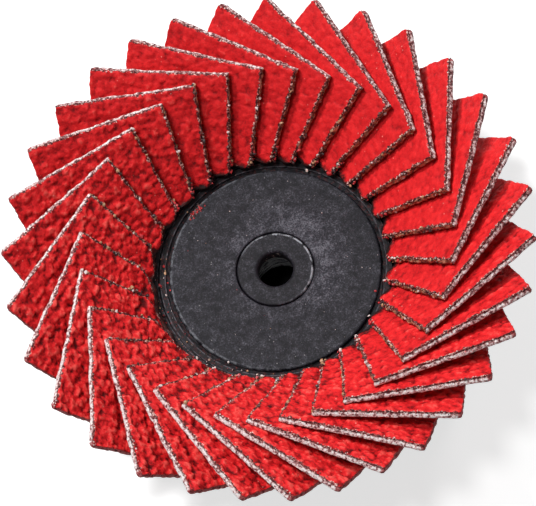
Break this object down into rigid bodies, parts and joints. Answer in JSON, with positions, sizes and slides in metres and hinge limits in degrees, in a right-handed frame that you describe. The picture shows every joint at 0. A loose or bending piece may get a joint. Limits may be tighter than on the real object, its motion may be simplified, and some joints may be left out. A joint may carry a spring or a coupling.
{
  "type": "flap disc",
  "caption": "Small flap disc: a fan of inclined red abrasive cloth flaps round a black moulded hub, with a threaded steel insert in the back for a spindle.",
  "frame": {"origin": "centre of the back face, at the mouth of the threaded insert, on the spindle axis", "axes": "+Z along the spindle axis from the back face to the working face; flaps overlap anticlockwise seen from +Z"},
  "size_m": [0.0506, 0.0506, 0.0148],
  "materials": {
    "abrasive_cloth": "coarse red grain bonded to pale cloth, cloth showing at the cut edges",
    "moulded_plastic": "fine moulded texture",
    "face_plastic": "matt charcoal with a fine mottle and a little dust",
    "resin": "dark cured resin with stray grains",
    "steel": "turned steel"
  },
  "bodies": {
    "root": {"flap_01": "abrasive_cloth", "flap_02": "abrasive_cloth", "flap_03": "abrasive_cloth", "flap_04": "abrasive_cloth", "flap_05": "abrasive_cloth", "flap_06": "abrasive_cloth", "flap_07": "abrasive_cloth", "flap_08": "abrasive_cloth", "flap_09": "abrasive_cloth", "flap_10": "abrasive_cloth", "flap_11": "abrasive_cloth", "flap_12": "abrasive_cloth", "flap_13": "abrasive_cloth", "flap_14": "abrasive_cloth", "flap_15": "abrasive_cloth", "flap_16": "abrasive_cloth", "flap_17": "abrasive_cloth", "flap_18": "abrasive_cloth", "flap_19": "abrasive_cloth", "flap_20": "abrasive_cloth", "flap_21": "abrasive_cloth", "flap_22": "abrasive_cloth", "flap_23": "abrasive_cloth", "flap_24": "abrasive_cloth", "flap_25": "abrasive_cloth", "flap_26": "abrasive_cloth", "flap_27": "abrasive_cloth", "flap_28": "abrasive_cloth", "flap_29": "abrasive_cloth", "flap_30": "abrasive_cloth", "flap_31": "abrasive_cloth", "flap_32": "abrasive_cloth", "backing_plate": "moulded_plastic", "threaded_insert": "steel", "face_cap": "face_plastic", "centre_bush": "face_plastic", "resin_bed": "resin"}
  },
  "joints": []
}
